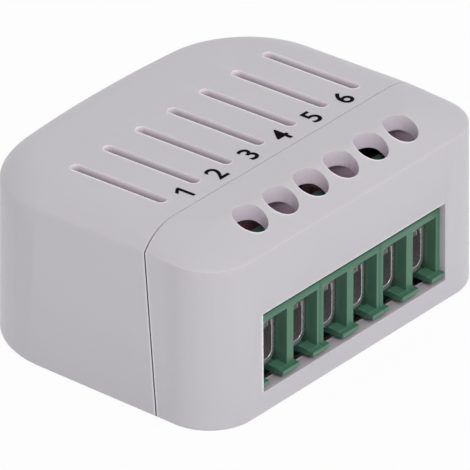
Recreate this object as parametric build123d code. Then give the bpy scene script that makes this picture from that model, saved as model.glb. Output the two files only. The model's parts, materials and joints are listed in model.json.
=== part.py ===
from build123d import *
import os
from math import atan2, hypot, pi, radians, sqrt, tan

os.makedirs("parts", exist_ok=True)

# Frame: X runs along the terminal face, Y from that face to the back, Z up.
# The terminal face lies in y = 0 and the base in z = 0 until place() moves everything,
# so that the origin is the middle of the base.

# Casing
front_width = 46.1
back_width = 45.6
depth = 36.6
height = 21.5
back_bulge = 2.0
front_radius = 5.7
back_radius = 11.5
wall = 1.2
roof = 1.8
cap_roof = 1.9
front_wall = 1.75
floor_wall = 1.0
draft_angle = 0.6
ledge_start = 1.0
ledge_reach = 1.5
base_round = 0.3

# Crown of the casing: a tilted flat inside a rolled rim, with a sloping flat along the front
crown_radius = 5.8
crown_width = 4.6
crown_tilt = 1.4
crease_height = 19.0
side_reach = 4.65
back_reach = 4.3
fold_reach = 5.6
front_drop = 2.57
fold_softness = 0.12
rim_front_radius = 6.2
rim_back_radius = 10.6
flat_front_radius = 6.0
flat_back_radius = 7.1
crown_margin = 1.0
crown_step = 1.0
crown_tolerance = 0.01

# Parting line between the rear shell and the front cap
seam_base = 8.2
seam_tilt = 5.1
seam_gap = 0.15
tongue_wall = 0.8
tongue_reach = 1.7
tongue_root = 2.0
tongue_clearance = 0.08
tongue_drop = 0.15
snap_radius = 0.35
snap_length = 4.0
snap_clearance = 0.08
snap_height = 11.0
rib_half = 0.5
rib_inset = 1.5

# Grooves in the top
groove_count = 7
groove_pitch = 5.31
groove_width = 1.25
groove_depth = 1.1
groove_start = 12.7
groove_length = 12.9

# Terminals
pole_pitch = 5.0
poles_per_block = 2
block_count = 3
pole_count = poles_per_block * block_count
screw_line = 4.15
access_radius = 1.93

# Opening in the terminal face
opening_clearance = 0.24
opening_low = 2.6
opening_high = 12.0

# Main board
board_thickness = 1.6
board_gap = 0.4
board_inset = 2.4
board_front = 3.6
board_headroom = 1.0
pin_play = 0.1

# Terminal housing
block_face = 0.75
block_back = 9.2
block_top = 14.8
block_shoulder = 11.2
block_side_gap = 0.02
block_inner_gap = 0.15
row_flank = 0.2
cell_width = 3.9
cell_high = 10.4
cell_floor = 0.5
lip_face = 0.1
lip_low = 0.12
ramp_high = 0.75
ramp_low = 0.6
floor_slot = 2.25
floor_slot_inset = 0.25
cage_room_front = 2.2
cage_room_back = 6.2
head_web = 0.5
nose_chamfer = 0.15

# Rising wire clamp
cage_clearance = 0.1
cage_depth = 3.6
cage_wall = 0.45
cage_base = 0.6
cage_plate = 1.1
cage_corner = 1.3
cage_lift = 2.7
cage_floor_gap = 0.3
wire_room = 3.5

# Contact bar and its solder leg
bar_thickness = 0.8
bar_width = 2.4
bar_front = 2.7
bar_play = 0.05
leg_width = 1.0
leg_front = 7.8
leg_tail = 0.25

# Clamp screw
thread_radius = 1.25
thread_play = 0.05
shank_play = 0.1
head_radius = 1.8
head_height = 1.4
head_play = 0.12
head_chamfer = 0.2
shank_chamfer = 0.25
slot_width = 0.6
slot_depth = 0.7

# Relays
relay_width = 10.0
relay_headroom = 1.7
relay_back_room = 7.666
relay_front = 11.0
relay_left = 20.0
relay_gap = 0.5
relay_corner = 0.6
relay_base = 1.2
relay_base_inset = 0.3

# Power supply
core_width = 12.0
core_depth = 4.6
core_height = 10.5
core_window = 2.5
core_yoke = 1.9
coil_depth = 9.6
coil_play = 0.1
coil_corner = 1.2
supply_right = 19.8
supply_front = 11.6
can_radius = 3.15
can_height = 12.0
can_crimp = 0.25
can_crimp_height = 1.6
can_corner = 0.4
can_gap = 0.5
film_width = 12.0
film_height = 10.5
film_corner = 0.6
film_gap = 1.2
disc_radius = 3.6
disc_thickness = 2.8
disc_round = 0.85
disc_stand = 0.8
lead_radius = 0.3
lead_pitch = 5.0
disc_back_room = 2.9
disc_middle = -1.0
resistor_radius = 1.6
resistor_length = 8.0
resistor_stand = 0.4
resistor_bulge = 0.25
resistor_cap = 2.2
lead_reach = 1.0
lead_bend = 0.6
resistor_middle = 12.5
resistor_gap = 0.6
resistor_back_room = 5.4
bridge_size = (4.4, 3.2, 2.4)
bridge_chamfer = 0.3
bridge_foot = 0.5
foot_width = 0.8
foot_height = 0.2

# Radio board
radio_width = 12.0
radio_height = 13.5
radio_thickness = 0.8
radio_back_room = 5.7
radio_middle = -11.0
shield_width = 9.0
shield_height = 8.0
shield_depth = 1.5
shield_base = 1.5
shield_corner = 0.4

# Heights that follow from the stack: floor, board, terminal housing, clamp, screw
board_low = floor_wall + board_gap
board_high = board_low + board_thickness
cell_low = board_high + cell_floor
cage_low = cell_low + cage_floor_gap
bar_low = cage_low + cage_base + wire_room
bar_high = bar_low + bar_thickness
plate_low = bar_high + bar_play
plate_high = plate_low + cage_plate
cage_room_top = plate_high + cage_lift + cage_clearance
head_seat = cage_room_top + head_web
block_width = poles_per_block * pole_pitch - 2 * block_side_gap
block_row = block_count * poles_per_block * pole_pitch
pole_places = [(n - (pole_count - 1) / 2) * pole_pitch for n in range(pole_count)]
block_places = [(n - (block_count - 1) / 2) * poles_per_block * pole_pitch for n in range(block_count)]

# Inner pieces that end a named room before the back wall or under the roof
relay_length = depth - relay_back_room - relay_front
relay_height = height - roof - board_high - relay_headroom
radio_front = depth - radio_back_room
disc_back = depth - disc_back_room
resistor_front = depth - resistor_back_room - 2 * resistor_radius
film_front = supply_front + coil_depth + film_gap
film_depth = resistor_front - resistor_gap - film_front

big = 4 * max(front_width, depth, height)


def block_of(x, y, z):
    """Box between two values on each axis."""
    size = [high - low for low, high in (x, y, z)]
    middle = [(low + high) / 2 for low, high in (x, y, z)]
    return Pos(*middle) * Box(*size)


def beside(x, y, half, low, high, front, back):
    """Distance outside a rectangle with round corners, negative inside it."""
    radius, over = (front, low - y) if y < (low + high) / 2 else (back, y - high)
    dx = abs(x) - half + radius
    dy = over + radius
    return hypot(max(dx, 0), max(dy, 0)) + min(max(dx, dy), 0) - radius


def crown_height(x, y):
    """Height of the top. From the edge of the flat to the rim it drops by an arc at the sides and
    the back, by a straight slope at the front, and by a mix of both round the front corners."""
    lean = tan(radians(draft_angle)) * crease_height
    half = front_width / 2 - lean
    x /= 1 - (1 - back_width / front_width) * y / depth
    bow = back_bulge * (x / half) ** 2 * max(y / depth, 0)
    rim = beside(x, y + bow, half, lean, depth - lean, rim_front_radius, rim_back_radius)
    flat_half = half - side_reach
    flat_low = lean + fold_reach
    flat_high = depth - lean - back_reach
    flat = beside(x, y + bow, flat_half, flat_low, flat_high, flat_front_radius, flat_back_radius)
    share = max(flat, 0) / (max(flat, 0) - rim)
    across = max(abs(x) - flat_half + flat_front_radius, 0)
    along = max(flat_low + flat_front_radius - y - bow, 0)
    front = atan2(along, across) * 2 / pi
    front *= front * (3 - 2 * front)
    bend = min(share, 1.1)
    rise = sqrt(crown_radius**2 - (crown_width * bend) ** 2)
    roll = crown_radius - rise + (share - bend) * bend * crown_width**2 / rise
    soft = 2 * fold_softness
    slope = share**2 / 2 / soft if share < soft else share - fold_softness
    slope *= front_drop / (1 - fold_softness)
    return height - tan(radians(crown_tilt)) * (y - fold_reach) - (1 - front) * roll - front * slope


def under_crown():
    """Everything below the top, as one smooth surface pulled down."""
    wide = front_width / 2 + crown_margin
    columns = round(2 * wide / crown_step)
    rows = round((depth + 2 * crown_margin) / crown_step)
    xs = [wide * (2 * n / columns - 1) for n in range(columns + 1)]
    ys = [(depth + 2 * crown_margin) * n / rows - crown_margin for n in range(rows + 1)]
    points = [[Vector(x, y, crown_height(x, y)) for y in ys] for x in xs]
    top = Face.make_surface_from_array_of_points(points, tol=crown_tolerance)
    return extrude(top, amount=2 * height, dir=(0, 0, -1))


def plan(inset):
    """Outline seen from above: straight front, tapering sides, round back corners, bowed back."""
    half_front = front_width / 2
    half_back = back_width / 2
    corner_line = depth - back_bulge
    sides = Polyline(
        (-half_back, corner_line), (-half_front, 0), (half_front, 0), (half_back, corner_line)
    )
    back = ThreePointArc((half_back, corner_line), (0, depth), (-half_back, corner_line))
    outline = make_face(sides + back)
    outline = fillet(outline.vertices().group_by(Axis.Y)[-1], back_radius)
    outline = fillet(outline.vertices().group_by(Axis.Y)[0], front_radius)
    return offset(outline, amount=-inset) if inset else outline


def casing_form(inset, roof):
    """Casing body shrunk by inset at its walls and by roof under its top."""
    walls = extrude(plan(inset), amount=height + 1, taper=draft_angle)
    return walls & (Pos(0, 0, -roof) * crown_body)


def seam_side(behind, shift):
    """Half space behind or before the parting plane, which leans back with height."""
    plane = Pos(0, seam_base + shift, 0) * Rot(X=-seam_tilt)
    return plane * block_of((-big, big), (0, big) if behind else (-big, 0), (-big, big))


def above(low):
    """Half space above a height."""
    return block_of((-big, big), (-big, big), (low, big))


crown_body = under_crown()
outer_form = casing_form(0, 0)
outer_form = fillet(outer_form.faces().sort_by(Axis.Z)[0].edges(), base_round)
inner_form = casing_form(wall, roof) & above(floor_wall)
cap_room = casing_form(wall, cap_roof) & above(floor_wall)
tongue_outer = casing_form(wall + tongue_clearance, roof + tongue_drop)
tongue_inner = casing_form(wall + tongue_clearance + tongue_wall, roof + tongue_drop + tongue_wall)
board_room = block_of((-big, big), (-big, big), (-big, board_high + board_headroom))


def snap_ridge(x, y, z, play):
    """Short round ridge along the tongue, on the side walls."""
    ridge = Cylinder(snap_radius + play, snap_length + 2 * play)
    return Pos(x, y, z) * ridge


def snap_places():
    """Centres of the two side ridges on the face of the tongue."""
    y = seam_base + snap_height * tan(radians(seam_tilt)) + tongue_reach / 2
    lean = (front_width - back_width) / 2 / depth * y + tan(radians(draft_angle)) * snap_height
    x = front_width / 2 - lean - wall - tongue_clearance
    return [(side * x, y, snap_height) for side in (-1, 1)]


def top_grooves():
    """Row of blind grooves with round ends that follow the tilt of the top."""
    bar = extrude(Rot(Z=90) * SlotOverall(groove_length, groove_width), amount=groove_depth, both=True)
    middle = groove_start + groove_length / 2
    level = height - tan(radians(crown_tilt)) * (middle - fold_reach)
    bar = Pos(0, middle, level) * Rot(X=-crown_tilt) * bar
    return [Pos((n - (groove_count - 1) / 2) * groove_pitch, 0, 0) * bar for n in range(groove_count)]


def rear_shell():
    """Cup behind the parting line, with board ledges and pockets for the snap ridges."""
    shell = (outer_form - inner_form) & seam_side(True, seam_gap / 2)
    ledge_room = inner_form & seam_side(True, seam_gap / 2 + tongue_reach + ledge_start)
    ledge_x = front_width / 2 - board_inset - ledge_reach
    ledges = block_of((-big, big), (-big, depth - back_radius), (0, board_low))
    ledges -= block_of((-ledge_x, ledge_x), (-big, big), (-big, big))
    shell += ledge_room & ledges
    shell -= top_grooves()
    shell -= [snap_ridge(x, y, z, snap_clearance) for x, y, z in snap_places()]
    return shell


def front_cap():
    """Cap with the terminal opening, the screw holes, the tongue and the ribs over the blocks."""
    room = cap_room & block_of((-big, big), (front_wall, big), (-big, big))
    cap = (outer_form - room) & seam_side(False, -seam_gap / 2)
    root_start = seam_side(True, -seam_gap / 2 - tongue_root)
    tongue = tongue_outer & root_start & seam_side(False, seam_gap / 2 + tongue_reach)
    root = cap_room & root_start & seam_side(False, -seam_gap / 2)
    cap += (tongue + root) - tongue_inner - board_room
    cap += [snap_ridge(x, y, z, 0) & above(0) for x, y, z in snap_places()]
    half = block_row / 2 + opening_clearance
    opening = block_of((-half, half), (-1, front_wall + 1), (opening_low, opening_high))
    cap -= opening
    cap -= [Pos(x, screw_line, height) * Cylinder(access_radius, height / 2) for x in pole_places]
    rib_lines = [(n - block_count / 2) * poles_per_block * pole_pitch for n in range(block_count + 1)]
    for x in rib_lines:
        rib = block_of((x - rib_half, x + rib_half), (0, block_back - rib_inset), (block_top, height))
        cap += rib & cap_room
    return cap


def main_board():
    """Board that carries every inner piece, with a hole for each terminal leg."""
    board = Pos(0, 0, board_low) * extrude(plan(board_inset), amount=board_thickness)
    board &= block_of((-big, big), (board_front, big), (-big, big))
    hole_x = leg_width / 2 + pin_play
    holes = [
        block_of(
            (x - hole_x, x + hole_x),
            (leg_front - pin_play, leg_front + bar_thickness + pin_play),
            (0, block_top),
        )
        for x in pole_places
    ]
    return board - holes


def terminal_block(middle):
    """Two-pole housing: open cells with a sloping lip, clamp rooms, head recesses, leg channels.
    The outer blocks have a thicker outer wall, and the lips reach out before the dividers."""
    half = block_width / 2
    sides = (-half - row_flank * (middle < -half), half + row_flank * (middle > half))
    inside = front_wall + block_inner_gap
    body = block_of(sides, (block_face, block_back), (board_high, block_shoulder))
    body += block_of(sides, (inside, block_back), (block_shoulder, block_top))
    body = chamfer(body.faces().sort_by(Axis.Y)[0].edges(), nose_chamfer)
    body += block_of(
        sides, (lip_face, block_face + nose_chamfer), (board_high + lip_low, board_high + ramp_low)
    )
    cell = cell_width / 2
    for pole in range(poles_per_block):
        x = (pole - (poles_per_block - 1) / 2) * pole_pitch
        ramp = Polyline(
            (lip_face, board_high + ramp_low),
            (cage_room_front, board_high + ramp_high),
            (cage_room_front, cell_high),
            (lip_face, cell_high),
            close=True,
        )
        mouth = extrude(Plane.YZ * make_face(ramp), amount=cell, both=True)
        room = block_of(
            (-cell, cell), (cage_room_front, cage_room_back), (cell_low, cage_room_top)
        )
        slot_x = floor_slot_inset - cell
        slot = block_of((slot_x, slot_x + floor_slot), (0, cage_room_back), (0, cage_low))
        shank = Pos(0, screw_line, head_seat) * Cylinder(thread_radius + shank_play, 2 * head_web)
        recess = Cylinder(head_radius + head_play, big)
        recess = Pos(0, screw_line, head_seat + big / 2) * recess
        play = bar_width / 2 + bar_play
        shelf = block_of(
            (-play, play), (cage_room_back - 1, big), (bar_low - bar_play, bar_high + bar_play)
        )
        play = leg_width / 2 + bar_play
        channel = block_of((-play, play), (leg_front - bar_play, big), (0, bar_high + bar_play))
        for cut in (mouth, room, slot, shank, recess, shelf, channel):
            body -= Pos(x, 0, 0) * cut
    return Pos(middle, 0, 0) * body


def wire_clamp(x):
    """Loop of plate with a round foot and a tapped top plate, at its lowest, open place."""
    half = cell_width / 2 - cage_clearance
    loop = Pos(0, (cage_low + plate_high) / 2) * Rectangle(2 * half, plate_high - cage_low)
    loop = fillet(loop.vertices().group_by(Axis.Y)[0], cage_corner)
    inner = Pos(0, (cage_low + cage_base + plate_low) / 2) * Rectangle(
        2 * (half - cage_wall), plate_low - cage_low - cage_base
    )
    inner = fillet(inner.vertices().group_by(Axis.Y)[0], cage_corner - cage_wall)
    cage = extrude(Plane.XZ * (loop - inner), amount=cage_depth / 2, both=True)
    cage -= Pos(0, 0, plate_high) * Cylinder(thread_radius + thread_play, 4 * cage_plate)
    return Pos(x, screw_line, 0) * cage


def contact_bar(x):
    """Flat bar through the clamp, with a leg down through the board."""
    flat = bar_width / 2
    leg = leg_width / 2
    bar = block_of((-flat, flat), (bar_front, leg_front + bar_thickness), (bar_low, bar_high))
    bar += block_of(
        (-leg, leg), (leg_front, leg_front + bar_thickness), (board_low - leg_tail, bar_high)
    )
    return Pos(x, 0, 0) * bar


def clamp_screw(x):
    """Slotted screw that turns in the housing and lifts the clamp."""
    shank_length = head_seat - plate_low
    shank = Cylinder(thread_radius, shank_length, align=(Align.CENTER, Align.CENTER, Align.MAX))
    shank = chamfer(shank.edges().sort_by(Axis.Z)[0], shank_chamfer)
    head = Cylinder(head_radius, head_height, align=(Align.CENTER, Align.CENTER, Align.MIN))
    head = chamfer(head.edges().sort_by(Axis.Z)[-1], head_chamfer)
    head -= Pos(0, 0, head_height) * Box(big, slot_width, 2 * slot_depth)
    return Pos(x, screw_line, head_seat) * (shank + head)


def relay(left):
    """Sealed relay: rounded cover over a base that is set in."""
    cover = Box(relay_width, relay_length, relay_height - relay_base, align=Align.MIN)
    cover = fillet(cover.edges().filter_by(Axis.Z), relay_corner)
    cover = chamfer(cover.faces().sort_by(Axis.Z)[-1].edges(), relay_corner / 2)
    base = block_of(
        (relay_base_inset, relay_width - relay_base_inset),
        (relay_base_inset, relay_length - relay_base_inset),
        (-relay_base, 0),
    )
    return Pos(left, relay_front, board_high + relay_base) * (cover + base)


def transformer_core():
    """Closed ferrite core with two windows beside its middle leg."""
    core = block_of((0, core_width), (0, core_depth), (0, core_height))
    middle_leg = core_width - 2 * core_window - 2 * core_yoke
    for x in (core_yoke, core_yoke + core_window + middle_leg):
        core -= block_of(
            (x, x + core_window), (-1, core_depth + 1), (core_yoke, core_height - core_yoke)
        )
    return transformer_place() * core


def transformer_coil():
    """Wound bobbin on the middle leg, on a foot that stands on the board."""
    middle_leg = core_width - 2 * core_window - 2 * core_yoke
    low = core_yoke + coil_play
    high = core_height - core_yoke - coil_play
    half = middle_leg / 2 + core_window - coil_play
    coil = block_of((-half, half), (-coil_depth / 2, coil_depth / 2), (low, high))
    coil = fillet(coil.edges().filter_by(Axis.Z), coil_corner)
    leg = middle_leg / 2 + coil_play
    core_half = core_depth / 2 + coil_play
    coil -= block_of((-leg, leg), (-core_half, core_half), (0, core_height))
    foot_front = coil_depth / 2
    for side in (-1, 1):
        edges = sorted((side * core_half, side * foot_front))
        coil += block_of((-half, half), edges, (0, low + coil_play)) & block_of(
            (-half, half), (-foot_front + coil_corner, foot_front - coil_corner), (0, height)
        )
    return transformer_place() * Pos(core_width / 2, core_depth / 2, 0) * coil


def transformer_place():
    """Where the transformer stands on the board."""
    return Pos(
        supply_right - core_width, supply_front + (coil_depth - core_depth) / 2, board_high
    )


def can_capacitor(row):
    """Upright round can with a crimp near its foot."""
    profile = Polyline(
        (0, 0),
        (can_radius, 0),
        (can_radius, can_crimp_height - can_crimp),
        (can_radius - can_crimp, can_crimp_height),
        (can_radius, can_crimp_height + can_crimp),
        (can_radius, can_height),
        (0, can_height),
        close=True,
    )
    can = revolve(Plane.XZ * make_face(profile), Axis.Z)
    can = fillet(can.edges().sort_by(Axis.Z)[-1], can_corner)
    x = supply_right - core_width - can_gap - can_radius
    y = supply_front + can_radius + row * (2 * can_radius + can_gap)
    return Pos(x, y, board_high) * can


def film_capacitor():
    """Box-shaped film capacitor behind the transformer."""
    box = Box(film_width, film_depth, film_height, align=Align.MIN)
    box = fillet(box.edges().filter_by(Axis.Z), film_corner)
    box = fillet(box.faces().sort_by(Axis.Z)[-1].edges(), film_corner / 2)
    return Pos(supply_right - film_width, film_front, board_high) * box


def varistor():
    """Coated disc that stands on two leads."""
    disc = Rot(X=90) * Cylinder(disc_radius, disc_thickness)
    disc = fillet(disc.edges(), disc_round)
    leads = [
        Pos(side * lead_pitch / 2, 0, 0)
        * Cylinder(lead_radius, disc_radius + disc_stand, align=(Align.CENTER, Align.CENTER, Align.MAX))
        for side in (-1, 1)
    ]
    disc += leads
    return Pos(disc_middle, disc_back - disc_thickness / 2, board_high + disc_stand + disc_radius) * disc


def fusible_resistor():
    """Lying resistor with swollen ends and two bent leads."""
    half = resistor_length / 2
    neck = half - resistor_cap
    profile = Polyline(
        (0, -half),
        (resistor_radius, -half),
        (resistor_radius, -neck),
        (resistor_radius - resistor_bulge, -neck + resistor_bulge),
        (resistor_radius - resistor_bulge, neck - resistor_bulge),
        (resistor_radius, neck),
        (resistor_radius, half),
        (0, half),
        close=True,
    )
    body = revolve(Plane.XZ * make_face(profile), Axis.Z)
    body = Rot(Y=90) * body
    drop = resistor_radius + resistor_stand
    reach = half + lead_reach
    corners = [(-reach, 0, -drop), (-reach, 0, 0), (reach, 0, 0), (reach, 0, -drop)]
    path = FilletPolyline(*corners, radius=lead_bend)
    lead = sweep(Plane(path @ 0, z_dir=path % 0) * Circle(lead_radius), path)
    return Pos(resistor_middle, resistor_front + resistor_radius, board_high + drop) * (body + lead)


def bridge_rectifier():
    """Small rectifier block with four bent feet."""
    x, y, z = bridge_size
    body = Pos(0, 0, z / 2 + foot_height / 2) * Box(x, y, z - foot_height)
    body = chamfer(body.faces().sort_by(Axis.Z)[-1].edges(), bridge_chamfer)
    feet = [
        Pos(side_x * x / 4, side_y * y / 2, foot_height) * Box(foot_width, 2 * bridge_foot, 2 * foot_height)
        for side_x in (-1, 1)
        for side_y in (-1, 1)
    ]
    x_place = supply_right - film_width - can_gap - x / 2
    y_place = supply_front + 4 * can_radius + 1.5 * can_gap + y / 2 + bridge_foot
    return Pos(x_place, y_place, board_high) * (body + feet)


def radio_board():
    """Upright radio board that stands on the main board."""
    half = radio_width / 2
    return block_of(
        (radio_middle - half, radio_middle + half),
        (radio_front, radio_front + radio_thickness),
        (board_high, board_high + radio_height),
    )


def radio_shield():
    """Metal can over the radio circuit, against the back of its board."""
    half = shield_width / 2
    back = radio_front + radio_thickness
    can = block_of(
        (radio_middle - half, radio_middle + half),
        (back, back + shield_depth),
        (board_high + shield_base, board_high + shield_base + shield_height),
    )
    return fillet(can.faces().sort_by(Axis.Y)[-1].edges(), shield_corner)


def place(piece):
    """Moves a piece so that the origin is the middle of the base."""
    return Pos(0, -depth / 2, 0) * piece


nodes = {
    "rear_shell": rear_shell(),
    "front_cap": front_cap(),
    "main_board": main_board(),
    "relay_up": relay(-relay_left),
    "relay_down": relay(relay_width + relay_gap - relay_left),
    "transformer_core": transformer_core(),
    "transformer_coil": transformer_coil(),
    "input_capacitor": can_capacitor(0),
    "output_capacitor": can_capacitor(1),
    "film_capacitor": film_capacitor(),
    "varistor": varistor(),
    "fusible_resistor": fusible_resistor(),
    "bridge_rectifier": bridge_rectifier(),
    "radio_board": radio_board(),
    "radio_shield": radio_shield(),
}
for name, middle in zip(("left", "middle", "right"), block_places):
    nodes[f"terminal_block_{name}"] = terminal_block(middle)
for number, x in enumerate(pole_places, start=1):
    nodes[f"wire_clamp_{number}"] = wire_clamp(x)
    nodes[f"contact_bar_{number}"] = contact_bar(x)
    nodes[f"clamp_screw_{number}"] = clamp_screw(x)

for name, piece in nodes.items():
    export_step(place(piece), f"parts/{name}.step")
    print(name, round(place(piece).volume, 2))
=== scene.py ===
import bpy
import bmesh
import json
import math
import numpy as np
from mathutils import Matrix, Vector


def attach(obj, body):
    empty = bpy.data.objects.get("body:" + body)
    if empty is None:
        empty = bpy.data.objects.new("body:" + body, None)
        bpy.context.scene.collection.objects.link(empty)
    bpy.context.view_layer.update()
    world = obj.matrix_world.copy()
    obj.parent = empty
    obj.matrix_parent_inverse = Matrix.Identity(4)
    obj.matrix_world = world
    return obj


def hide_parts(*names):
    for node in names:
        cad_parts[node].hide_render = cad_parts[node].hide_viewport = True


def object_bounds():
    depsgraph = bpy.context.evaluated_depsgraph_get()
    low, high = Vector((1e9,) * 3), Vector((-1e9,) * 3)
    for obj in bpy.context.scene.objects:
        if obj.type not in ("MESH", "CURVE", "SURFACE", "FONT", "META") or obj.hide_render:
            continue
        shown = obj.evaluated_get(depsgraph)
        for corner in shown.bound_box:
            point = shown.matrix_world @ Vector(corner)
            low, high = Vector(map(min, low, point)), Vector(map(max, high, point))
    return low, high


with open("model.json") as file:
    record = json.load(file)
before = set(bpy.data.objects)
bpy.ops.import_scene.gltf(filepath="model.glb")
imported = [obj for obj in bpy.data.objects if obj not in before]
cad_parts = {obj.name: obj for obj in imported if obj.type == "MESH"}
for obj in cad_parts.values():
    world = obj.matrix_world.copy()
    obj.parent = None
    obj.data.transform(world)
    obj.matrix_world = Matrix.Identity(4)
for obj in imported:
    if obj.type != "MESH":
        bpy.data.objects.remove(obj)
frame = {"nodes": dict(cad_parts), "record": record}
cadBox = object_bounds()
print("frame loaded")

mm = 0.001
nodes = frame["nodes"]
record = frame["record"]
slotOf = {part["node"]: part["material_slot"] for part in record["subparts"]}
bodyOf = {name: body for body, members in record["behaviour"]["bodies"].items() for name in members}
caseFront = round(cadBox[0][1] / mm, 1)
caseTop = round(cadBox[1][2] / mm, 1)


# helpers for shader nodes

noiseSpan = (0.3, 0.7)  # most of the noise's values lie between these
white = (1.0, 1.0, 1.0)
upwards = (0.0, 0.0, 1.0)


def linearColour(srgb):
    # written sRGB, 0-255, to linear light: a straight foot, then a power curve
    foot, footSlope, lift, power = 0.04045, 12.92, 0.055, 2.4
    c = np.array(srgb, float) / 255
    c = np.where(c <= foot, c / footSlope, ((c + lift) / (1 + lift)) ** power)
    return (float(c[0]), float(c[1]), float(c[2]), 1.0)


def shade(c, k):
    return (c[0] * k, c[1] * k, c[2] * k, 1.0)


def newMaterial(name):
    mat = bpy.data.materials.new(name)
    mat.use_nodes = True
    tree = mat.node_tree
    shader = next(n for n in tree.nodes if n.type == "BSDF_PRINCIPLED")
    coords = tree.nodes.new("ShaderNodeTexCoord")
    return mat, tree, shader, coords.outputs["Object"]


def splitOf(tree, vector):
    n = tree.nodes.new("ShaderNodeSeparateXYZ")
    tree.links.new(vector, n.inputs[0])
    return n.outputs


def noiseOf(tree, vector, scale, detail, rough):
    n = tree.nodes.new("ShaderNodeTexNoise")
    n.inputs["Scale"].default_value = scale
    n.inputs["Detail"].default_value = detail
    n.inputs["Roughness"].default_value = rough
    tree.links.new(vector, n.inputs["Vector"])
    return n.outputs["Fac"]


def stretched(tree, vector, scale):
    m = tree.nodes.new("ShaderNodeMapping")
    m.inputs["Scale"].default_value = scale
    tree.links.new(vector, m.inputs["Vector"])
    return m.outputs["Vector"]


def spanOf(tree, value, low, high, least=0.0, most=1.0):
    # least at low, most at high, and clamped outside them
    r = tree.nodes.new("ShaderNodeMapRange")
    r.inputs["From Min"].default_value = low
    r.inputs["From Max"].default_value = high
    r.inputs["To Min"].default_value = least
    r.inputs["To Max"].default_value = most
    tree.links.new(value, r.inputs["Value"])
    return r.outputs["Result"]


def twoTone(tree, value, dark, light):
    r = tree.nodes.new("ShaderNodeValToRGB")
    for element, position, colour in zip(r.color_ramp.elements, noiseSpan, (dark, light)):
        element.position = position
        element.color = colour
    tree.links.new(value, r.inputs["Fac"])
    return r.outputs["Color"]


def bumpOf(tree, shader, height, strength, distance):
    b = tree.nodes.new("ShaderNodeBump")
    b.inputs["Strength"].default_value = strength
    b.inputs["Distance"].default_value = distance
    tree.links.new(height, b.inputs["Height"])
    tree.links.new(b.outputs["Normal"], shader.inputs["Normal"])


def mathOf(tree, kind, *values):
    n = tree.nodes.new("ShaderNodeMath")
    n.operation = kind
    for socket, value in zip(n.inputs, values):
        if isinstance(value, (int, float)):
            socket.default_value = value
        else:
            tree.links.new(value, socket)
    return n.outputs[0]


def dotOf(tree, one, other):
    n = tree.nodes.new("ShaderNodeVectorMath")
    n.operation = "DOT_PRODUCT"
    for socket, value in zip(n.inputs, (one, other)):
        if isinstance(value, tuple):
            socket.default_value = value
        else:
            tree.links.new(value, socket)
    return n.outputs["Value"]


def mixOf(tree, kind, share, one, other):
    n = tree.nodes.new("ShaderNodeMix")
    n.data_type = "RGBA"
    n.blend_type = kind
    factor, first, second = n.inputs[0], n.inputs[6], n.inputs[7]  # the sockets of its colour form
    for socket, value in ((factor, share), (first, one), (second, other)):
        if isinstance(value, (float, tuple)):
            socket.default_value = value
        else:
            tree.links.new(value, socket)
    return n.outputs[2]


# painted highlights on edges, painted shade at the seam and painted light and shade on the mesh's corners

paintedHighlightLook = {"samples": 8, "bare": -0.35, "lit": 0.15, "jambBare": 0.9, "jambLit": 0.97}


def paintedHighlightShare(tree, at, rim):
    # painted highlight on edges: an edge is where the normal rounded over the width leaves the face's own; it
    # is painted pale where that normal leans along "lean", or along "jamb" at the opening's left side, and
    # the seam's band has none
    rounded = tree.nodes.new("ShaderNodeBevel")
    rounded.samples = paintedHighlightLook["samples"]
    rounded.inputs["Radius"].default_value = rim["width"]
    normal = rounded.outputs["Normal"]
    own = tree.nodes.new("ShaderNodeNewGeometry")
    edge = spanOf(tree, dotOf(tree, normal, own.outputs["Normal"]), rim["from"], rim["full"])
    side = spanOf(tree, dotOf(tree, normal, rim["lean"]), paintedHighlightLook["bare"], paintedHighlightLook["lit"])
    if "jamb" in rim:
        jamb = spanOf(tree, dotOf(tree, normal, rim["jamb"]), paintedHighlightLook["jambBare"], paintedHighlightLook["jambLit"])
        side = mathOf(tree, "MAXIMUM", side, jamb)
    share = mathOf(tree, "MULTIPLY", edge, side)
    if "band" in rim:
        inBand = mathOf(tree, "COMPARE", splitOf(tree, at)["Y"], rim["seam"], rim["band"])
        share = mathOf(tree, "MULTIPLY", share, mathOf(tree, "SUBTRACT", 1.0, inBand))
    return share


def paintedSeamShade(tree, at, tone, look):
    # painted shade in the seam's gap: at the parting plane, which leans back by the tilt as it rises, the
    # tone darkens, less so on the top, and on upright walls a painted highlight, a pale flank, lies outside
    # that
    place = splitOf(tree, at)
    lean = mathOf(tree, "MULTIPLY", place["Z"], math.tan(math.radians(look["tilt"])))
    off = mathOf(tree, "SUBTRACT", mathOf(tree, "SUBTRACT", place["Y"], lean), look["at"])
    off = mathOf(tree, "ABSOLUTE", off)
    own = tree.nodes.new("ShaderNodeNewGeometry")
    level = mathOf(tree, "ABSOLUTE", dotOf(tree, own.outputs["Normal"], upwards))
    upright = mathOf(tree, "SUBTRACT", 1.0, level)
    flank = mathOf(tree, "MULTIPLY", spanOf(tree, off, look["fade"], look["plain"]), upright)
    flank = mathOf(tree, "MULTIPLY", flank, look["flank"])
    tone = mixOf(tree, "MIX", flank, tone, linearColour(look["colour"]))
    line = spanOf(tree, off, look["plain"], look["dark"])
    part = spanOf(tree, place["Z"], look["top"], look["low"], look["topShare"])
    return mixOf(tree, "MULTIPLY", mathOf(tree, "MULTIPLY", line, part), tone, shade(white, look["shade"]))


def paintedShadingTone(tree, tone):
    # painted light and shade, as colours on the mesh's corners, multiply the tone
    n = tree.nodes.new("ShaderNodeAttribute")
    n.attribute_name = "tint"
    return mixOf(tree, "MULTIPLY", 1.0, tone, n.outputs["Color"])


# plastics

plasticLook = {"detail": 2.0, "driftRough": 0.5, "grainRough": 0.6, "roughSpread": 0.04, "ior": 1.5,
               "glowReach": (1.0, 0.7, 0.75)}


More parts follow.
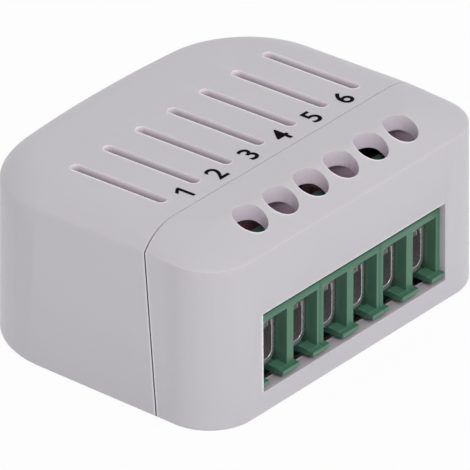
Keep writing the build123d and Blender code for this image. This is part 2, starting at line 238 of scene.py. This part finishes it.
def mouldedPlastic(name, look):
    # base colour drifts a little over the part; the mould's fine grain is bump and roughness; where the look
    # asks, painted light and shade on the corners, painted highlights on edges and painted shade at the seam
    # are laid on the colour
    mat, tree, shader, at = newMaterial(name)
    common = plasticLook
    colour = linearColour(look["colour"])
    drift = noiseOf(tree, at, look["driftScale"], common["detail"], common["driftRough"])
    tone = twoTone(tree, drift, shade(colour, 1 - look["drift"]), shade(colour, 1 + look["drift"]))
    if "tinted" in look:
        tone = paintedShadingTone(tree, tone)
    if "rim" in look:
        tone = mixOf(tree, "MIX", paintedHighlightShare(tree, at, look["rim"]), tone, linearColour(look["rim"]["colour"]))
    if "parting" in look:
        tone = paintedSeamShade(tree, at, tone, look["parting"])
    tree.links.new(tone, shader.inputs["Base Color"])
    grain = noiseOf(tree, at, look["grainScale"], common["detail"], common["grainRough"])
    smooth, coarse = look["roughness"] - common["roughSpread"], look["roughness"] + common["roughSpread"]
    tree.links.new(spanOf(tree, grain, *noiseSpan, smooth, coarse), shader.inputs["Roughness"])
    bumpOf(tree, shader, grain, look["grain"], look["grainDepth"])
    shader.inputs["IOR"].default_value = common["ior"]
    shader.inputs["Specular IOR Level"].default_value = look["gloss"]
    if "glow" in look:  # light that passes a little way through pale plastic, red the farthest
        shader.inputs["Subsurface Weight"].default_value = look["glow"]
        shader.inputs["Subsurface Scale"].default_value = look["glowDepth"]
        shader.inputs["Subsurface Radius"].default_value = common["glowReach"]
    return mat


# lengths and places in metres, the tilt in degrees; lean and jamb are directions. The first table paints
# highlights on the casing's edges, the second paints shade in the seam's gap and a pale painted highlight
# flanking it
casingPaintedHighlight = {"colour": (255, 252, 255), "width": 0.0007, "from": 0.985, "full": 0.9,
             "lean": (0.77, 0.64, -0.5), "jamb": (0.707, -0.707, 0.0), "seam": -0.0087, "band": 0.0026}
casingPaintedSeamShade = {"at": -0.0101, "tilt": 5.1, "dark": 0.00008, "plain": 0.00013, "shade": 0.22,
                 "fade": 0.00034, "flank": 0.8, "colour": (255, 248, 255),
                 "top": 0.0212, "low": 0.0185, "topShare": 0.3}
casingLook = {"colour": (198, 195, 200), "drift": 0.012, "driftScale": 60, "grainScale": 5200,
              "roughness": 0.4, "grain": 0.2, "grainDepth": 0.00002, "gloss": 0.5, "glow": 0.3,
              "glowDepth": 0.0012, "tinted": True, "rim": casingPaintedHighlight, "parting": casingPaintedSeamShade}
terminalLook = {"colour": (74, 119, 97), "drift": 0.03, "driftScale": 240, "grainScale": 4200,
                "roughness": 0.36, "grain": 0.12, "grainDepth": 0.00002, "gloss": 0.5, "tinted": True}
boardLook = {"colour": (36, 92, 58), "drift": 0.08, "driftScale": 900, "grainScale": 3800,
             "roughness": 0.38, "grain": 0.3, "grainDepth": 0.00003, "gloss": 0.5}
relayLook = {"colour": (150, 104, 118), "drift": 0.05, "driftScale": 300, "grainScale": 4000,
             "roughness": 0.3, "grain": 0.1, "grainDepth": 0.00002, "gloss": 0.5}
ferriteLook = {"colour": (150, 118, 128), "drift": 0.15, "driftScale": 2400, "grainScale": 5200,
               "roughness": 0.62, "grain": 0.5, "grainDepth": 0.00004, "gloss": 0.35}
tapeLook = {"colour": (196, 152, 132), "drift": 0.05, "driftScale": 700, "grainScale": 2600,
            "roughness": 0.26, "grain": 0.3, "grainDepth": 0.00003, "gloss": 0.5}
sleeveLook = {"colour": (30, 44, 104), "drift": 0.05, "driftScale": 500, "grainScale": 2600,
              "roughness": 0.24, "grain": 0.12, "grainDepth": 0.00003, "gloss": 0.5}
filmLook = {"colour": (206, 178, 84), "drift": 0.03, "driftScale": 400, "grainScale": 4200,
            "roughness": 0.42, "grain": 0.2, "grainDepth": 0.00002, "gloss": 0.45}
dippedLook = {"colour": (36, 84, 164), "drift": 0.06, "driftScale": 420, "grainScale": 1500,
              "roughness": 0.28, "grain": 0.5, "grainDepth": 0.00006, "gloss": 0.5}
resistorLook = {"colour": (150, 160, 150), "drift": 0.05, "driftScale": 600, "grainScale": 3000,
                "roughness": 0.55, "grain": 0.5, "grainDepth": 0.00004, "gloss": 0.4}
epoxyLook = {"colour": (38, 38, 38), "drift": 0.08, "driftScale": 1200, "grainScale": 4800,
             "roughness": 0.5, "grain": 0.4, "grainDepth": 0.00003, "gloss": 0.4}
inkLook = {"colour": (12, 5, 14), "drift": 0.1, "driftScale": 2600, "grainScale": 5200,
           "roughness": 0.6, "grain": 0.2, "grainDepth": 0.00001, "gloss": 0.02}


# metals

metalLook = {"detail": 3.0, "rough": 0.6, "roughSpread": 0.06}


def turnedRun(tree, at, look):
    # rings about each screw's axis: the distance from it stands in for the place, so the noise turns with it;
    # the axes stand one pitch apart along the row, half a pitch off the middle
    place = splitOf(tree, at)
    halfPitch = look["pitch"] / 2
    part = mathOf(tree, "FRACT", mathOf(tree, "DIVIDE", place["X"], look["pitch"]))
    along = mathOf(tree, "SUBTRACT", mathOf(tree, "MULTIPLY", part, look["pitch"]), halfPitch)
    across = mathOf(tree, "SUBTRACT", place["Y"], look["rowLine"])
    squares = mathOf(tree, "ADD", mathOf(tree, "POWER", along, 2.0), mathOf(tree, "POWER", across, 2.0))
    join = tree.nodes.new("ShaderNodeCombineXYZ")
    tree.links.new(mathOf(tree, "SQRT", squares), join.inputs["X"])
    tree.links.new(place["Z"], join.inputs["Z"])
    return join.outputs[0], place["Z"]


def wroughtMetal(name, look):
    # fine lines along one axis from a stretched noise, or round the axis of a turned piece
    mat, tree, shader, at = newMaterial(name)
    common = metalLook
    colour = linearColour(look["colour"])
    if "rowLine" in look:
        run, level = turnedRun(tree, at, look)
    else:
        run, level = stretched(tree, at, look["stretch"]), None
    lines = noiseOf(tree, run, look["lineScale"], common["detail"], common["rough"])
    tone = twoTone(tree, lines, shade(colour, 1 - look["drift"]), shade(colour, 1 + look["drift"]))
    shader.inputs["Metallic"].default_value = look["metal"]
    if level is not None:  # painted shade: the driver's slot is darker towards its floor
        depth = spanOf(tree, level, look["face"], look["floor"])
        tone = mixOf(tree, "MULTIPLY", depth, tone, shade(white, look["deep"]))
    if "rim" in look:  # painted highlight: edges that catch the light are painted paler and less mirror-like
        share = paintedHighlightShare(tree, at, look["rim"])
        tone = mixOf(tree, "MIX", share, tone, linearColour(look["rim"]["colour"]))
        metal = mathOf(tree, "MULTIPLY", mathOf(tree, "SUBTRACT", 1.0, share), look["metal"])
        tree.links.new(metal, shader.inputs["Metallic"])
    tree.links.new(tone, shader.inputs["Base Color"])
    smooth, coarse = look["roughness"] - common["roughSpread"], look["roughness"] + common["roughSpread"]
    tree.links.new(spanOf(tree, lines, *noiseSpan, smooth, coarse), shader.inputs["Roughness"])
    bumpOf(tree, shader, lines, look["lines"], look["lineDepth"])
    return mat


# painted highlight on the clamp strips' edges, with less metal there
nickelPaintedHighlight = {"colour": (255, 250, 255), "width": 0.00016, "from": 0.985, "full": 0.88,
             "lean": (-0.7, 0.0, 0.7)}
nickelLook = {"colour": (206, 195, 200), "drift": 0.06, "stretch": (1.0, 8.0, 1.0), "lineScale": 2600,
              "roughness": 0.3, "lines": 0.12, "lineDepth": 0.00001, "metal": 0.85, "rim": nickelPaintedHighlight}
# the row line, pitch and slot heights are in metres; deep is the tone's share left by the painted shade at
# the slot's floor
screwLook = {"colour": (196, 168, 184), "drift": 0.08, "lineScale": 5200, "rowLine": -0.01415,
             "pitch": 0.005, "floor": 0.01392, "face": 0.01448, "deep": 0.3,
             "roughness": 0.34, "lines": 0.15, "lineDepth": 0.00001, "metal": 0.6}
tinLook = {"colour": (200, 200, 198), "drift": 0.05, "stretch": (1.0, 5.0, 1.0), "lineScale": 2200,
           "roughness": 0.34, "lines": 0.12, "lineDepth": 0.00001, "metal": 1.0}


# finishes by material slot

finishes = {
    "casing_grey": mouldedPlastic("mouldedGreyCasing", casingLook),
    "terminal_green": mouldedPlastic("mouldedGreenTerminal", terminalLook),
    "clamp_nickel": wroughtMetal("nickelledClampStrip", nickelLook),
    "contact_tin": wroughtMetal("tinnedContactStrip", tinLook),
    "screw_steel": wroughtMetal("turnedClampScrew", screwLook),
    "board_green": mouldedPlastic("maskedBoard", boardLook),
    "relay_black": mouldedPlastic("sealedRelayCover", relayLook),
    "ferrite_grey": mouldedPlastic("sinteredFerrite", ferriteLook),
    "coil_tape_yellow": mouldedPlastic("coilTape", tapeLook),
    "can_sleeve_blue": mouldedPlastic("capacitorSleeve", sleeveLook),
    "film_box_yellow": mouldedPlastic("filmCapacitorBox", filmLook),
    "varistor_blue": mouldedPlastic("dippedVaristor", dippedLook),
    "resistor_grey": mouldedPlastic("resistorCoating", resistorLook),
    "chip_black": mouldedPlastic("mouldedEpoxy", epoxyLook),
    "shield_tin": wroughtMetal("tinnedShield", tinLook),
}
printedInk = mouldedPlastic("printedInk", inkLook)

for name, node in nodes.items():
    node.data.materials.clear()
    node.data.materials.append(finishes[slotOf[name]])
print("finishes given to", len(nodes), "CAD nodes")


# softened copies of the outer pieces, some with painted light and shade on their corners

softLook = {"prefix": "soft_", "merge": 0.000002, "flat": 0.5, "sharp": 30}
square = 0.9  # a face looks along an axis when its normal's part along it is over this
steep = 0.5  # a wall is upright when its normal rises or falls by less than this


def softened(name, edges):
    # a merged copy with a small bevel stands for the CAD node
    mesh = nodes[name].data.copy()
    piece = bpy.data.objects.new(softLook["prefix"] + name, mesh)
    bpy.context.scene.collection.objects.link(piece)
    bm = bmesh.new()
    bm.from_mesh(mesh)
    bmesh.ops.remove_doubles(bm, verts=bm.verts, dist=softLook["merge"])
    flat = math.radians(softLook["flat"])
    bmesh.ops.dissolve_limit(bm, angle_limit=flat, verts=bm.verts, edges=bm.edges, delimit={"SHARP"})
    bm.to_mesh(mesh)
    bm.free()
    mesh.shade_smooth()
    mesh.set_sharp_from_angle(angle=math.radians(softLook["sharp"]))
    bevel = piece.modifiers.new("edges", "BEVEL")
    bevel.width = edges["width"]
    bevel.segments = edges["segments"]
    bevel.limit_method = "ANGLE"
    bevel.angle_limit = math.radians(edges["limit"])
    bevel.harden_normals = True
    bevel.miter_outer = "MITER_ARC"
    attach(piece, bodyOf[name])
    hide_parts(name)
    return piece


def valuesOf(items, field, width, kind=float):
    # one row for each item of a mesh, as a whole array
    values = np.empty(width * len(items), kind)
    items.foreach_get(field, values)
    return values.reshape(-1, width)


def painted(piece, rule):
    # rule gives each face corner's painted light and shade from its place and its face's direction and
    # middle, in mm
    mesh = piece.data
    corners = valuesOf(mesh.loops, "vertex_index", 1, int)[:, 0]
    faces = np.repeat(np.arange(len(mesh.polygons)), valuesOf(mesh.polygons, "loop_total", 1, int)[:, 0])
    places = valuesOf(mesh.vertices, "co", 3)[corners] / mm
    directions = valuesOf(mesh.polygons, "normal", 3)[faces]
    middles = valuesOf(mesh.polygons, "center", 3)[faces] / mm
    colour = np.column_stack([rule(places, directions, middles), np.ones(len(faces))])
    mesh.color_attributes.new("tint", "FLOAT_COLOR", "CORNER").data.foreach_set("color", colour.ravel())


def graded(tint, where, share, look):
    # from the near colour to the far one as the share goes from 0 to 1
    share = np.clip(share[where], 0, 1)[:, None]
    tint[where] = (1 - share) * np.array(look["near"]) + share * np.array(look["far"])


# widths in metres, limits in degrees
clampEdges = {"width": 0.00008, "segments": 2, "limit": 40}
for name in sorted(nodes):
    if name.startswith("wire_clamp"):
        softened(name, clampEdges)

# painted shade darkening the cells' side walls on the way in, and painted light on the housings' tops under
# the holes
cellShadingLook = {"start": -17.55, "deep": 4.0, "near": (0.95, 0.9, 0.93), "far": (0.6, 0.5, 0.58),
            "roof": 14, "top": (1.8, 1.2, 1.4)}


def cellPaintedShading(at, facing, middle):
    # painted shade: the side walls of the cells darken on the way in; painted light: the housings' tops under
    # the holes are paler
    tint = np.ones((len(at), 3))
    look = cellShadingLook
    walls = (np.abs(facing[:, 0]) > square) & (at[:, 2] < look["roof"])
    graded(tint, walls, (at[:, 1] - look["start"]) / look["deep"], look)
    tint[(facing[:, 2] > square) & (at[:, 2] > look["roof"])] = look["top"]
    return tint


blockEdges = {"width": 0.00006, "segments": 2, "limit": 50}
for name in sorted(nodes):
    if name.startswith("terminal_block"):
        painted(softened(name, blockEdges), cellPaintedShading)

# all in mm, with y counted from the front of the case; near, far and colour are painted light and shade that
# multiply the tone
crownLook = {"fold": 5.6, "tilt": 1.4, "frontFall": 0.459, "backFall": 0.0244}
holeLook = {"line": 4.15, "pitch": 5.0, "half": 15.0, "radius": 1.98, "bottom": 15,
            "deep": 2.4, "near": (1.17, 1.15, 1.17), "far": (1.42, 1.28, 1.38)}
grooveLook = {"from": 12.0, "to": 26.5, "half": 17.5, "margin": 0.3, "floor": 0.7,
              "deep": 1.1, "near": (1.84, 1.77, 1.79), "far": (0.58, 0.54, 0.56)}
ribLook = {"low": 14.0, "high": 18.8, "inner": 15.0, "colour": (1.3, 1.0, 1.2)}
sillLook = {"top": 3.5, "reach": 4.0, "deep": 3.0, "near": (0.98, 0.93, 0.95), "far": (0.62, 0.56, 0.58)}


def casingPaintedShading(at, facing, middle):
    # painted light and shade: the walls of the screw holes grow paler towards the bottom, the walls and
    # floors of the grooves are paler at the top and darker to the floor, the ribs are paler, and the
    # opening's sill darkens going in
    tint = np.ones((len(at), 3))
    crown = crownLook
    y = at[:, 1] - caseFront
    upright = np.abs(facing[:, 2]) < steep
    sideways = np.abs(facing[:, 0]) > square
    level = facing[:, 2] > square

    look = holeLook
    # signed distance along the row to the nearest hole's axis, and from it the radius
    along = np.mod(middle[:, 0], look["pitch"]) - look["pitch"] / 2
    radius = np.hypot(along, middle[:, 1] - caseFront - look["line"])
    inRow = (np.abs(middle[:, 0]) < look["half"]) & (at[:, 2] > look["bottom"])
    depth = caseTop - crown["frontFall"] * (crown["fold"] - y) - at[:, 2]
    graded(tint, (radius < look["radius"]) & inRow & upright, depth / look["deep"], look)

    look = grooveLook
    depth = caseTop - crown["backFall"] * (y - crown["fold"]) - at[:, 2]
    zone = (y > look["from"]) & (y < look["to"]) & (np.abs(at[:, 0]) < look["half"])
    zone &= depth < look["deep"] + look["margin"]
    graded(tint, zone & (upright | level & (depth > look["floor"])), depth / look["deep"], look)

    look = ribLook
    rib = (middle[:, 2] > look["low"]) & (middle[:, 2] < look["high"]) & (np.abs(at[:, 0]) < look["inner"])
    tint[rib & sideways] = look["colour"]

    look = sillLook
    graded(tint, level & (at[:, 2] < look["top"]) & (y < look["reach"]), y / look["deep"], look)
    return tint


shellEdges = {"width": 0.00016, "segments": 3, "limit": 42}
for name in ("rear_shell", "front_cap"):
    painted(softened(name, shellEdges), casingPaintedShading)
print("edges softened")


# printed numbers, in mm

numberLook = {"words": "123456", "places": (-13.4, -8.05, -2.7, 2.6, 7.8, 13.1), "behindFront": 12.25,
              "size": 3.5, "weight": 0.045, "thick": 0.012, "lift": 0.006,
              "one": ((0.12, -1.08), (0.52, -1.08), (0.52, 1.37), (0.16, 1.37),
                      (-0.55, 0.84), (-0.55, 0.4), (0.12, 0.88))}


def flaggedOne(look):
    # the built-in font has a bare bar for 1: this is an outline, its lower and upper copy and a ring of walls
    outline = np.array(look["one"])
    count = len(outline)
    low = np.column_stack([outline, np.full(count, -look["thick"])])
    places = np.vstack([low, low * (1, 1, -1)]) * mm
    here = np.arange(count)
    after = (here + 1) % count
    walls = np.column_stack([here, after, after + count, here + count])
    mesh = bpy.data.meshes.new("number_1")
    mesh.from_pydata(places.tolist(), [], [here[::-1].tolist(), (here + count).tolist()] + walls.tolist())
    return mesh


def fontNumber(word, look):
    # filled text made a mesh
    text = bpy.data.curves.new("number_" + word, "FONT")
    text.body = word
    text.size = look["size"] * mm
    text.align_x = "CENTER"
    text.align_y = "CENTER"
    text.offset = look["weight"] * mm
    text.extrude = look["thick"] * mm
    holder = bpy.data.objects.new("number_" + word, text)
    bpy.context.scene.collection.objects.link(holder)
    bpy.context.view_layer.update()
    mesh = bpy.data.meshes.new_from_object(holder.evaluated_get(bpy.context.evaluated_depsgraph_get()))
    bpy.data.objects.remove(holder)
    return mesh


def printedNumber(word, x, look, crown):
    # the number's plane is laid on the tilted flat of the top:
    # z falls from the fold by the tangent of the tilt times the way back
    mesh = flaggedOne(look) if word == "1" else fontNumber(word, look)
    tilt = math.radians(crown["tilt"])
    y = look["behindFront"]
    z = caseTop - math.tan(tilt) * (y - crown["fold"]) + look["lift"] + look["thick"]
    turn = Matrix.Rotation(-tilt, 4, "X")
    mesh.transform(Matrix.Translation((x * mm, (y + caseFront) * mm, z * mm)) @ turn)
    mesh.materials.clear()
    mesh.materials.append(printedInk)
    piece = bpy.data.objects.new("number_" + word, mesh)
    bpy.context.scene.collection.objects.link(piece)
    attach(piece, "casing")


for word, x in zip(numberLook["words"], numberLook["places"]):
    printedNumber(word, x, numberLook, crownLook)
print("numbers printed")


# camera, in metres and degrees

cameraLook = {"azimuth": 50.5, "elevation": 29.71, "aim": (-0.003081, -0.004354, 0.011158),
              "away": 1.152354, "lens": 835.19, "sensor": 36.0, "nearest": 0.01, "farthest": 20.0}

a = math.radians(cameraLook["azimuth"])
e = math.radians(cameraLook["elevation"])
forward = Vector((math.sin(a) * math.cos(e), math.cos(a) * math.cos(e), -math.sin(e)))
right = Vector((math.cos(a), -math.sin(a), 0.0))
up = right.cross(forward)
place = Vector(cameraLook["aim"]) - forward * cameraLook["away"]
turn = Matrix((right, up, -forward)).transposed()
camera = bpy.data.objects.new("camera", bpy.data.cameras.new("camera"))
camera.matrix_world = Matrix.Translation(place) @ turn.to_4x4()
camera.data.lens = cameraLook["lens"]
camera.data.sensor_width = cameraLook["sensor"]
camera.data.clip_start = cameraLook["nearest"]
camera.data.clip_end = cameraLook["farthest"]
bpy.context.scene.collection.objects.link(camera)
bpy.context.scene.camera = camera


# floor, world and lamp, in metres

floorLook = {"size": 3.0, "colour": 0.88, "whiteShare": 0.92}
worldLook = {"ambient": 0.87, "seen": 1.0}
lampLook = {"place": (-0.28, -0.82, 0.78), "aim": (0, 0, 0.01), "size": 0.5, "power": 4.7}


def seenOrNot(tree, unseen, seen):
    # one value where the camera, a mirror-like surface or a clear one sees it, another where it only lights
    rays = tree.nodes.new("ShaderNodeLightPath").outputs
    count = mathOf(tree, "ADD", rays["Is Camera Ray"], rays["Is Glossy Ray"])
    count = mathOf(tree, "ADD", count, rays["Is Transmission Ray"])
    return spanOf(tree, count, 0.0, 1.0, unseen, seen)


half = floorLook["size"] / 2
floorMesh = bpy.data.meshes.new("floor")
corners = [(-half, -half, 0), (half, -half, 0), (half, half, 0), (-half, half, 0)]
floorMesh.from_pydata(corners, [], [range(len(corners))])
floor = bpy.data.objects.new("floor", floorMesh)
bpy.context.scene.collection.objects.link(floor)
floorMat = bpy.data.materials.new("paleFloor")
floorMat.use_nodes = True
tree = floorMat.node_tree
tree.nodes.clear()
out = tree.nodes.new("ShaderNodeOutputMaterial")
mix = tree.nodes.new("ShaderNodeMixShader")
matte = tree.nodes.new("ShaderNodeBsdfDiffuse")
matte.inputs["Color"].default_value = (floorLook["colour"],) * 3 + (1.0,)
glow = tree.nodes.new("ShaderNodeEmission")
tree.links.new(seenOrNot(tree, 0.0, floorLook["whiteShare"]), mix.inputs[0])
tree.links.new(matte.outputs[0], mix.inputs[1])
tree.links.new(glow.outputs[0], mix.inputs[2])
tree.links.new(mix.outputs[0], out.inputs["Surface"])
floorMesh.materials.append(floorMat)

world = bpy.data.worlds.new("studio")
bpy.context.scene.world = world
world.use_nodes = True
tree = world.node_tree
tree.nodes.clear()
out = tree.nodes.new("ShaderNodeOutputWorld")
back = tree.nodes.new("ShaderNodeBackground")
tree.links.new(seenOrNot(tree, worldLook["ambient"], worldLook["seen"]), back.inputs["Strength"])
tree.links.new(back.outputs[0], out.inputs["Surface"])

lamp = bpy.data.lights.new("frontLamp", "AREA")
lamp.size = lampLook["size"]
lamp.energy = lampLook["power"]
stand = bpy.data.objects.new("frontLamp", lamp)
stand.location = lampLook["place"]
away = Vector(lampLook["place"]) - Vector(lampLook["aim"])
stand.rotation_euler = away.to_track_quat("Z", "Y").to_euler()
bpy.context.scene.collection.objects.link(stand)
bpy.context.scene.view_settings.view_transform = "Standard"
print("camera, floor and lamp placed")
